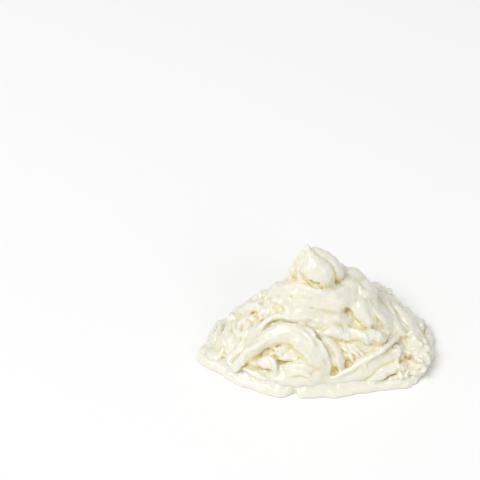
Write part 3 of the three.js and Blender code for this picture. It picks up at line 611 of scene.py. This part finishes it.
# Hollows that show: [x, y, radius, depth], pressed where the skin lies over [x, y].
PITS = [
    [-34.9, -15, 0.9, 1.8], [-33.9, -13.8, 0.7, 1.0], [-28.1, -21.3, 1.0, 1.2], [-34.7, -1.8, 0.6, 0.8],
    [-34.1, -10.2, 0.6, 0.7], [-27.8, -12.2, 0.6, 0.7], [-22.4, -4.9, 0.8, 0.6], [-25.6, -3.4, 0.6, 0.7],
    [-20.2, -8.9, 0.9, 0.7], [-8.5, -5.5, 0.6, 0.4], [-12.9, -7.4, 0.6, 0.5], [-1.4, -9.6, 0.35, 0.8],
    [9.2, -9.9, 1.3, 1.0], [11.2, -8.9, 1.0, 0.8], [6.9, -23.9, 1.3, 0.8], [1.9, -16.6, 0.9, 1.2],
    [31.3, -13.8, 0.9, 0.9], [33.9, -9.8, 0.7, 0.7], [38.7, -16.9, 1.0, 1.0], [35.6, -21.6, 0.6, 0.6],
    [42.8, -9.1, 0.7, 0.7],
]
# Hollows at a given height, under what overhangs them: [x, y, z, radius].
UNDERCUTS = [[-2.4, -6.1, 36.3, 0.9], [-1.3, -6.4, 36.1, 1.3], [0.1, -6.9, 35.7, 1.1]]
POCKET = dict(at=[23.5, -20.6], radius=4.2, depth=1.6)


def folded(clay):
    """Works the lie of the curd into the bare mound."""
    close = np.nonzero(np.abs(clay.field) < 3)
    spots = clay.spots(close).astype(np.float32)
    bend = np.stack([layered(spots, [(11, 2.2), (5, 0.7)], 300 + i) for i in AXES], 1)
    bent = spots + bend
    total = 0.12 * puffs(bent / 3, 311)
    weights = np.full(len(spots), 0.25, np.float32)
    for number, (at, spread, heading, wave, length, height) in enumerate(FOLDS):
        off = (spots[:, :2] - at) / spread
        weight = np.exp(-1.1 * np.einsum("ij,ij->i", off, off))
        mine = np.nonzero(weight > 0.03)[0]
        normal = mound_normal(np.array(at[0], float), np.array(at[1], float))
        turned = math.radians(heading)
        run = np.array([math.cos(turned), math.sin(turned), 0])
        run = unit(run - (run @ normal) * normal)
        axes = np.stack([np.cross(normal, run) / wave, normal / (1.6 * wave), run / length], 1)
        total[mine] += weight[mine] * height * puffs(bent[mine] @ axes, 320 + number)
        weights[mine] += weight[mine]
    off = spots - SWIRL["centre"]
    out = np.linalg.norm(off, axis=1)
    weight = 2.5 * (1 - smoothstep(SWIRL["reach"] - 4, SWIRL["reach"] + 3, out))
    mine = np.nonzero(weight > 0)[0]
    turned = np.arctan2(off[mine, 1], off[mine, 0]) * 12 / SWIRL["length"]
    drawn = out[mine] + 0.4 * bend[mine, 0]
    circle = np.stack([drawn / SWIRL["wave"], np.zeros(len(mine)), turned], 1)
    total[mine] += weight[mine] * SWIRL["height"] * puffs(circle, 350)
    weights[mine] += weight[mine]
    clay.field[close] -= (total / np.maximum(weights, 0.6)).astype(np.float32)


def scatter(clay, patch, draw):
    """Small shreds strewn over a patch. They follow the skin as sculpted so far."""
    for _ in range(patch["count"]):
        bearing = draw.uniform(0, 2 * np.pi)
        radius = math.sqrt(draw.uniform())
        x = patch["at"][0] + patch["spread"][0] * radius * math.cos(bearing)
        y = patch["at"][1] + patch["spread"][1] * radius * math.sin(bearing)
        heading = math.radians(patch["heading"] + patch["swing"] * draw.normal() * 0.6)
        if patch.get("downhill"):
            heading += math.atan2(y - PEAK_Y, x - PEAK_X)
        length, width, thick = (draw.uniform(*patch[key]) for key in ("length", "width", "thick"))
        curl = math.radians(patch["curl"]) * draw.normal()
        seed = int(draw.integers(1, 9000))
        edge = patch.get("edge", 0.97)
        if mound_polar(x, y)[1] > edge:
            continue
        route = [[x, y, -0.2 * thick]]
        for part, rise in enumerate((0.15, 0.1, -0.3)):
            turned = heading + curl * part
            x, y = x + length / 3 * math.cos(turned), y + length / 3 * math.sin(turned)
            route.append([x, y, rise * thick])
        route = np.array(route)
        share = mound_polar(route[:, 0], route[:, 1])[1]
        inward = np.minimum(edge / np.maximum(share, 1e-6), 1)[:, None]
        route[:, :2] = [PEAK_X, PEAK_Y] + (route[:, :2] - [PEAK_X, PEAK_Y]) * inward
        points, facing = clay.rest_on_skin(route)
        widths = [width * 0.7, width, width, width * 0.6]
        clay.strand(points, facing, widths, thick * 1.6, twist=0.12 * draw.normal(), ridges=0.09,
                    ridge_pitch=0.9, blend=patch["blend"], seed=seed, blunt_power=3)


def lay(clay, shreds, first_seed):
    """Lays the chosen shreds on in their order."""
    for seed, shape in enumerate(shreds.values(), first_seed):
        shape = dict(shape)
        rest = clay.rest_on_skin if shape.pop("skin", False) else clay.rest_on_mound
        points, facing = rest(shape.pop("route"))
        clay.strand(points, facing, seed=seed, **shape)


def coat(clay, reach):
    """Cream lies in the creases: the skin is drawn out to a blurred one wherever that is higher."""
    clay.field[:] = soft_min(clay.field, blurred(blurred(clay.field, reach), reach), 0.15)


def sculpt_heap():
    clay = Clay(*CURD_BLOCK)
    x, y, z = clay.spread()
    height = mound_height(x, y)
    normal_z = mound_normal(x[..., 0] + 0 * y[..., 0], y[..., 0] + 0 * x[..., 0])[..., 2:]
    _, share = mound_polar(x, y)
    side = (share - 1.0) * 34
    clay.field[:] = soft_max(((z - height) * normal_z), side + 0 * z, 1.0)
    clay.grain[..., 0] = x
    clay.grain[..., 1] = y
    clay.grain[..., 2] = z
    folded(clay)
    draw = np.random.default_rng(SEED)
    for patch in PATCHES.values():
        scatter(clay, patch, draw)
    coat(clay, 1)
    lay(clay, DRAPES, first_seed=1)
    lay(clay, LEFT_SHREDS, first_seed=20)
    points, facing = clay.rest_on_mound([[*POCKET["at"], 0]])
    clay.pit(points[0], facing[0], POCKET["radius"], POCKET["depth"], blend=1.5)
    lay(clay, FRONT_SHREDS, first_seed=40)
    for patch in LATE_PATCHES.values():
        scatter(clay, patch, draw)
    lay(clay, TOP_SHREDS, first_seed=70)
    for number, (kx, ky, half, width) in enumerate(ROLL_KNOTS):
        route = [[kx - 0.9 * half, ky + half, -0.5], [kx, ky, -0.2], [kx + 0.9 * half, ky - half, -0.5]]
        points, facing = clay.rest_on_skin(route)
        clay.strand(points, facing, width, 0.7 * width, ridges=0.08, blend=0.5, seed=110 + number)
    for number, (cx, cy, rise, width) in enumerate(CURDS):
        turn = draw.uniform(0, np.pi)
        step = 0.28 * width * np.array([math.cos(turn), math.sin(turn)])
        route = [[cx - step[0], cy - step[1], rise], [cx, cy, rise], [cx + step[0], cy + step[1], rise]]
        points, facing = clay.rest_on_mound(route)
        clay.strand(points, facing, width, 0.8 * width, lumps=0.1, ridges=0.15, seed=number + 130)
    for seed, shape in enumerate(KNOB.values(), start=170):
        shape = dict(shape)
        route = np.array(shape.pop("route"), float)
        clay.strand(route, unit(np.array([KNOB_FACING] * len(route))), seed=seed, **shape)
    for px, py, radius, depth in PITS:
        points, facing = clay.rest_on_skin([[px, py, 0]])
        clay.pit(points[0], facing[0], radius, depth)
    for ux, uy, uz, radius in UNDERCUTS:
        clay.pit(np.array([ux, uy, uz]), unit(np.array(KNOB_FACING)), radius, radius)
    clay.field[:] = soft_max(clay.field, -z + 0 * clay.field, 0.4)
    return clay


# ---------------------------------------------------------------- from cells to a mesh

def close_slits(field):
    """Fills the cells between two that touch along an edge alone, so that no four faces meet."""
    for _ in range(8):
        inside = field < 0
        fill = np.zeros_like(inside)
        for first, second in ((0, 1), (0, 2), (1, 2)):
            corner = {}
            for i, j in itertools.product((0, 1), repeat=2):
                window = [slice(None)] * 3
                window[first] = slice(i, i - 1 or None)
                window[second] = slice(j, j - 1 or None)
                corner[i, j] = tuple(window)
            a, b, c, d = (inside[corner[key]] for key in ((0, 0), (0, 1), (1, 0), (1, 1)))
            crossed = (a == d) & (b == c) & (a != b)
            for key in corner:
                fill[corner[key]] |= crossed & ~inside[corner[key]]
        if not fill.any():
            break
        field[fill] = -0.05


def skin_mesh(clay):
    """One corner in each cell that the skin crosses, and one face across each crossed edge."""
    close_slits(clay.field)
    field = clay.field
    inside = field < 0
    shape = np.array(field.shape)
    cell_ids, cell_spots, face_cells, turned = [], [], [], []
    for axis in AXES:
        near_side = [slice(None)] * 3
        far_side = [slice(None)] * 3
        near_side[axis] = slice(0, -1)
        far_side[axis] = slice(1, None)
        crossed = inside[tuple(near_side)] != inside[tuple(far_side)]
        at = np.stack(np.nonzero(crossed), 1)
        keep = np.all((at >= 1) & (at < shape - 1), axis=1)
        at = at[keep]
        ahead = at + np.eye(3, dtype=int)[axis]
        f0 = field[tuple(at.T)]
        f1 = field[tuple(ahead.T)]
        spot = at.astype(float)
        spot[:, axis] += f0 / (f0 - f1)
        others = [o for o in range(3) if o != axis]
        ring = []
        for first, second in ((0, 0), (1, 0), (1, 1), (0, 1)):
            cell = at.copy()
            cell[:, others[0]] -= first
            cell[:, others[1]] -= second
            ring.append(np.ravel_multi_index(tuple(cell.T), field.shape))
            cell_ids.append(ring[-1])
            cell_spots.append(spot)
        face_cells.append(np.stack(ring, 1))
        turned.append((f0 < 0) == (axis != 1))
    flat = np.concatenate(cell_ids)
    names, number = np.unique(flat, return_inverse=True)
    spots = np.concatenate(cell_spots)
    count = np.bincount(number)
    corners = np.stack([np.bincount(number, spots[:, i]) / count for i in AXES], 1)
    faces = np.searchsorted(names, np.concatenate(face_cells))
    turned = np.concatenate(turned)
    faces[turned] = faces[turned][:, ::-1]
    return corners * CELL + clay.low, faces


def settle(clay, corners, faces, rounds=3):
    """Evens out the corners along the skin, and draws them onto it."""
    a = faces.ravel()
    b = np.roll(faces, -1, axis=1).ravel()
    ends = np.concatenate([a, b])
    starts = np.concatenate([b, a])
    count = np.bincount(ends, minlength=len(corners))[:, None]
    for _ in range(rounds):
        sums = [np.bincount(ends, corners[starts, i], len(corners)) for i in AXES]
        mean = np.stack(sums, 1) / count
        corners = corners + 0.5 * (mean - corners)
        slope = clay.slope(corners)
        steep = np.maximum(np.einsum("ij,ij->i", slope, slope), 0.2)
        move = (clay.read(corners) / steep)[:, None] * slope
        corners = corners - np.clip(move, -0.5 * CELL, 0.5 * CELL)
    return corners


def main_island(corners, faces):
    """The largest connected skin, without the skins of hollows that nothing shows of."""
    label = np.arange(len(corners))
    while True:
        lowest = label[faces].min(axis=1)
        joined = label.copy()
        np.minimum.at(joined, faces.ravel(), np.repeat(lowest, faces.shape[1]))
        joined = joined[joined]
        if (joined == label).all():
            break
        label = joined
    kept = label[faces[:, 0]] == np.bincount(label).argmax()
    used = np.unique(faces[kept])
    return corners[used], np.searchsorted(used, faces[kept])


def blurred(values, reach):
    """The mean over a box round each cell, reach cells to each side."""
    width = 2 * reach + 1
    for axis in AXES:
        before = np.repeat(np.take(values, [0], axis), reach + 1, axis)
        after = np.repeat(np.take(values, [-1], axis), reach, axis)
        sums = np.cumsum(np.concatenate([before, values, after], axis), axis, dtype=np.float64)
        size = values.shape[axis]
        ahead = np.take(sums, range(width, width + size), axis)
        values = ((ahead - np.take(sums, range(size), axis)) / width).astype(np.float32)
    return values


def hollowness(clay, corners, reach_mm):
    """How far the skin is walled in: 0 where it is flat, up to 1 deep in a crease."""
    solid = np.clip(0.5 - clay.field / CELL, 0, 1).astype(np.float32)
    filled = Clay.__new__(Clay)
    filled.low, filled.shape = clay.low, clay.shape
    filled.field = blurred(solid, max(1, round(reach_mm / CELL)))
    return np.clip(2 * filled.read(corners) - 1, -1, 1)


def warp(corners):
    """Draws the whole sculpture a little out of true, less near the surface that it lies on."""
    free = smoothstep(0.3, 4, corners[:, 2])[:, None]
    push = np.stack([layered(corners, WARP_WAVES, 200 + 10 * i) for i in AXES], 1)
    return corners + free * push


def underside(clay, corners):
    """1 where the skin faces down, falling to 0 where it faces up."""
    return 1 - smoothstep(-0.5, 0.6, unit(clay.slope(corners))[:, 2])


def grounded(corners):
    """Sets on the ground what lies within a hair of it."""
    corners[:, 2] = np.maximum(corners[:, 2], 0)
    corners[corners[:, 2] < GROUND_GAP, 2] = 0
    return corners


def make_object(name, corners, faces, attributes, most, drop_bottom=True):
    """A piece of at most the given count of triangles. Its attributes are one value a corner."""
    mesh = bpy.data.meshes.new(name)
    mesh.vertices.add(len(corners))
    mesh.vertices.foreach_set("co", ((corners + SHIFT) * MM).astype(np.float32).ravel())
    mesh.loops.add(faces.size)
    mesh.loops.foreach_set("vertex_index", faces.astype(np.int32).ravel())
    mesh.polygons.add(len(faces))
    mesh.polygons.foreach_set("loop_start", np.arange(0, faces.size, faces.shape[1], dtype=np.int32))
    mesh.update(calc_edges=True)
    for key, values in attributes.items():
        kind, part = ("FLOAT_VECTOR", "vector") if values.ndim == 2 else ("FLOAT", "value")
        layer = mesh.attributes.new(key, kind, "POINT")
        layer.data.foreach_set(part, values.astype(np.float32).ravel())
    obj = bpy.data.objects.new(name, mesh)
    bpy.context.scene.collection.objects.link(obj)
    if drop_bottom:
        flatten_bottom(mesh)
    thin_out(obj, most)
    mesh = obj.data
    part_twins(mesh)
    mesh.polygons.foreach_set("use_smooth", np.ones(len(mesh.polygons), bool))
    return obj


def flatten_bottom(mesh):
    """Turns the many small faces on the ground into one."""
    work = bmesh.new()
    work.from_mesh(mesh)
    low = [face for face in work.faces if all(vert.co.z < 0.02 * MM for vert in face.verts)]
    bmesh.ops.dissolve_faces(work, faces=low, use_verts=False)
    work.to_mesh(mesh)
    work.free()


def thin_out(obj, most):
    """Draws faces together where the skin is smooth, down to the given count of triangles."""
    count = sum(len(face.vertices) - 2 for face in obj.data.polygons)
    if count <= most:
        return
    modifier = obj.modifiers.new("thin", "DECIMATE")
    modifier.ratio = most / count
    shape = bpy.data.meshes.new_from_object(obj.evaluated_get(bpy.context.evaluated_depsgraph_get()))
    obj.modifiers.clear()
    obj.data = shape


def part_twins(mesh):
    """Takes out flat leaves: faces that lie back to back on the same corners."""
    work = bmesh.new()
    work.from_mesh(mesh)
    groups = {}
    for face in work.faces:
        groups.setdefault(frozenset(vert.index for vert in face.verts), []).append(face)
    twins = [face for group in groups.values() if len(group) > 1 for face in group]
    bmesh.ops.delete(work, geom=twins, context="FACES")
    work.to_mesh(mesh)
    work.free()
    mesh.validate()


def curd_heap(clay):
    """The curd's piece, with fine fibres drawn along each strand's grain."""
    corners, faces = main_island(*skin_mesh(clay))
    corners = settle(clay, corners, faces)
    near = np.clip(np.round((corners - clay.low) / CELL).astype(int), 0, np.array(clay.shape) - 1)
    grain = clay.grain[tuple(near.T)]
    fine = 0.055 * puffs(grain / [1.5, 1.5, 9], 7) + 0.05 * noise(corners / 1.2, 8)
    free = smoothstep(0.3, 1.5, corners[:, 2])
    # Painted shade: how much the curd's colour darkens and yellows in its narrow and wide hollows and on
    # its undersides.
    painted_shade = CURD_PAINTED_SHADE["base"] + CURD_PAINTED_SHADE["narrow"] * hollowness(clay, corners, 0.8)
    painted_shade = painted_shade + CURD_PAINTED_SHADE["wide"] * hollowness(clay, corners, 2.4)
    painted_shade = painted_shade + CURD_PAINTED_SHADE["under"] * underside(clay, corners)
    corners = grounded(warp(corners + (fine * free)[:, None] * unit(clay.slope(corners))))
    return make_object("curd", corners, faces, {"grain": grain, "painted_shade": painted_shade}, CURD_TRIANGLES)


def swell_at(angle, middle, spread, height):
    """A rounded rise of the given height round a middle angle, both in degrees."""
    off = np.mod(np.degrees(angle) - middle + 180, 360) - 180
    return height * np.exp(-((off / spread) ** 2))


def cream_reach(angle):
    """How far the cream's edge lies from the mound's axis."""
    reach = around(REACH, angle) + around(CREAM_RUN, angle)
    for bend in CREAM_EDGE_BENDS:
        reach = reach + swell_at(angle, *bend)
    for height, count, start in CREAM_EDGE_WAVES:
        reach = reach + height * np.sin(count * angle + start)
    return reach


def cream_pool(heap):
    """The cream's piece: a slab with a rounded edge that climbs the curd's foot and thins out on it."""
    clay = Clay(*CREAM_BLOCK)
    x, y, z = clay.spread()
    angle = np.arctan2(y - PEAK_Y, x - PEAK_X)
    past = np.hypot(x - PEAK_X, y - PEAK_Y) - cream_reach(angle) + CREAM_EDGE
    above = z - CREAM_LEVEL + CREAM_EDGE
    corner = np.hypot(np.maximum(past, 0), np.maximum(above, 0))
    slab = corner + np.minimum(np.maximum(past, above), 0) - CREAM_EDGE
    spots = np.stack(np.broadcast_arrays(x, y, z), -1).reshape(-1, 3)
    heap_field = heap.read(spots).reshape(clay.shape)
    heap_top = heap.low + CELL * (np.array(heap.shape) - 1)
    outside = np.any((spots < heap.low) | (spots > heap_top), axis=1)
    heap_field = np.where(outside.reshape(clay.shape), np.maximum(heap_field, 3), heap_field)
    pool = soft_min(slab, heap_field + CREAM_FILM, CREAM_BLEND)
    pool = soft_max(pool, z - CREAM_CLIMB - swell_at(angle, *CREAM_FRONT_CLIMB), 1.6)
    pool = soft_max(pool, -heap_field - CREAM_DEPTH_IN_CURD, 0.3)
    clay.field[:] = soft_max(pool, -z + 0 * pool, 0.4)
    corners, faces = main_island(*skin_mesh(clay))
    corners = settle(clay, corners, faces)
    # Painted shade: how much the cream's colour darkens and yellows in its hollows and on its undersides.
    painted_shade = CREAM_PAINTED_SHADE["base"] + CREAM_PAINTED_SHADE["narrow"] * hollowness(clay, corners, 1.2)
    painted_shade = painted_shade + CREAM_PAINTED_SHADE["under"] * underside(clay, corners)
    corners = grounded(warp(corners))
    return make_object("cream", corners, faces, {"painted_shade": painted_shade}, CREAM_TRIANGLES, drop_bottom=False)


# ---------------------------------------------------------------- materials

# The curd's own cream colour with painted light and shade: lighter on the crests, darker and yellower
# down into the creases and under things. Depth and colour.
CURD_COLOUR_AND_PAINTED_SHADE = [
    (0.0, (0.81, 0.795, 0.72, 1)), (0.25, (0.80, 0.77, 0.645, 1)), (0.38, (0.80, 0.74, 0.50, 1)),
    (0.6, (0.80, 0.68, 0.33, 1)), (0.85, (0.79, 0.62, 0.21, 1)),
]
# The cream's own colour with painted shade, darker and yellower in its hollows and under its edge. Depth
# and colour.
CREAM_COLOUR_AND_PAINTED_SHADE = [(0.0, (0.815, 0.795, 0.69, 1)), (0.7, (0.78, 0.71, 0.48, 1))]


def shader(name, **constants):
    """A new material. Constants are values of its shader's sockets, with _ for a space."""
    material = bpy.data.materials.new(name)
    material.use_nodes = True
    tree = material.node_tree
    skin = tree.nodes["Principled BSDF"]
    for key, value in constants.items():
        skin.inputs[key.replace("_", " ")].default_value = value
    return material, tree.nodes, tree.links, skin


# Paints shade into the base colour: the ramp darkens and yellows it where the painted shade value is
# high.
def paint_crease_shade(nodes, links, skin, tints):
    painted_shade = nodes.new("ShaderNodeAttribute")
    painted_shade.attribute_name = "painted_shade"
    ramp = nodes.new("ShaderNodeValToRGB")
    stops = ramp.color_ramp.elements
    stops[0].position, stops[0].color = tints[0]
    stops[1].position, stops[1].color = tints[-1]
    for depth, colour in tints[1:-1]:
        stops.new(depth).color = colour
    links.new(painted_shade.outputs["Fac"], ramp.inputs["Fac"])
    links.new(ramp.outputs["Color"], skin.inputs["Base Color"])


def texture_skin(nodes, links, skin, source, scale, detail, strength, height, gloss):
    """Fine noise over the skin, in its bump and in its roughness, which runs over gloss."""
    noise_node = nodes.new("ShaderNodeTexNoise")
    noise_node.inputs["Scale"].default_value = scale
    noise_node.inputs["Detail"].default_value = detail
    links.new(source, noise_node.inputs["Vector"])
    bump = nodes.new("ShaderNodeBump")
    bump.inputs["Strength"].default_value = strength
    bump.inputs["Distance"].default_value = height * MM
    links.new(noise_node.outputs["Fac"], bump.inputs["Height"])
    links.new(bump.outputs["Normal"], skin.inputs["Normal"])
    spread = nodes.new("ShaderNodeMapRange")
    spread.inputs["To Min"].default_value = gloss[0]
    spread.inputs["To Max"].default_value = gloss[1]
    links.new(noise_node.outputs["Fac"], spread.inputs["Value"])
    links.new(spread.outputs["Result"], skin.inputs["Roughness"])


def curd_material():
    """Moist curd, with fibres along the grain of each strand."""
    material, nodes, links, skin = shader(
        "curd", Subsurface_Weight=0.5, Subsurface_Radius=(1.0, 0.75, 0.4), Subsurface_Scale=1.7 * MM,
        Coat_Weight=0.5, Coat_Roughness=0.1)
    # The base colour carries painted light and shade: lighter crests, darker yellow creases and
    # undersides.
    paint_crease_shade(nodes, links, skin, CURD_COLOUR_AND_PAINTED_SHADE)
    grain = nodes.new("ShaderNodeAttribute")
    grain.attribute_name = "grain"
    stretch = nodes.new("ShaderNodeMapping")
    stretch.inputs["Scale"].default_value = (2.6, 2.6, 0.22)
    links.new(grain.outputs["Vector"], stretch.inputs["Vector"])
    texture_skin(nodes, links, skin, stretch.outputs["Vector"], scale=1.0, detail=3, strength=0.5,
                 height=0.12, gloss=(0.30, 0.48))
    return material


def cream_material():
    """Thick wet cream, a little rippled."""
    material, nodes, links, skin = shader(
        "cream", Subsurface_Weight=0.5, Subsurface_Radius=(1.0, 0.8, 0.55), Subsurface_Scale=1.6 * MM,
        Coat_Weight=0.3, Coat_Roughness=0.12)
    # The base colour carries painted shade: darker yellow in hollows and under the edge.
    paint_crease_shade(nodes, links, skin, CREAM_COLOUR_AND_PAINTED_SHADE)
    place = nodes.new("ShaderNodeTexCoord")
    texture_skin(nodes, links, skin, place.outputs["Object"], scale=260, detail=2, strength=0.3,
                 height=0.15, gloss=(0.16, 0.30))
    return material


# ---------------------------------------------------------------- studio

FLOOR_SIZE = 6
FLOOR_DROP = 0.15 * MM
FLOOR_COLOUR = (0.93, 0.93, 0.93, 1)
WORLD_STRENGTH = 0.55
LIGHT_TARGET = Vector((0, 0, 0.02))
# Each light's name, place, size and power.
LIGHTS = [
    ("key", (-1.2, -0.9, 2.22), 1.5, 36),
    ("spark", (-1.2, -1.5, 2.25), 0.24, 6.3),
    ("fill", (1.5, -1.8, 1.5), 1.5, 8),
]
CAMERA_PLACE = (-0.02983, -0.38842, 0.3895)
CAMERA_TILT = 49
CAMERA_LENS = 103.25
CAMERA_SENSOR = 36


def studio():
    bpy.ops.mesh.primitive_plane_add(size=FLOOR_SIZE, location=(0, 0, -FLOOR_DROP))
    floor = bpy.context.object
    floor.name = "floor"
    floor.data.materials.append(shader("floor", Base_Color=FLOOR_COLOUR, Roughness=0.85)[0])

    world = bpy.data.worlds.new("studio")
    bpy.context.scene.world = world
    world.use_nodes = True
    sky = world.node_tree.nodes["Background"]
    sky.inputs["Color"].default_value = (1, 1, 1, 1)
    sky.inputs["Strength"].default_value = WORLD_STRENGTH
    for light in LIGHTS:
        add_light(*light)
    bpy.context.scene.view_settings.view_transform = "Standard"


def add_light(name, place, size, power):
    data = bpy.data.lights.new(name, "AREA")
    data.shape = "DISK"
    data.size = size
    data.energy = power
    light = bpy.data.objects.new(name, data)
    light.location = place
    light.rotation_euler = (LIGHT_TARGET - Vector(place)).to_track_quat("-Z", "Y").to_euler()
    bpy.context.scene.collection.objects.link(light)


def camera():
    data = bpy.data.cameras.new("camera")
    data.lens = CAMERA_LENS
    data.sensor_width = CAMERA_SENSOR
    data.clip_start = 0.01
    data.clip_end = 20
    obj = bpy.data.objects.new("camera", data)
    obj.location = CAMERA_PLACE
    obj.rotation_euler = (math.radians(CAMERA_TILT), 0, 0)
    bpy.context.scene.collection.objects.link(obj)
    bpy.context.scene.camera = obj


camera()
studio()
heap_clay = sculpt_heap()
curd = curd_heap(heap_clay)
curd.data.materials.append(curd_material())
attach(curd, "root")
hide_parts("curd_heap")
cream = cream_pool(heap_clay)
cream.data.materials.append(cream_material())
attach(cream, "root")
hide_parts("cream_pool")
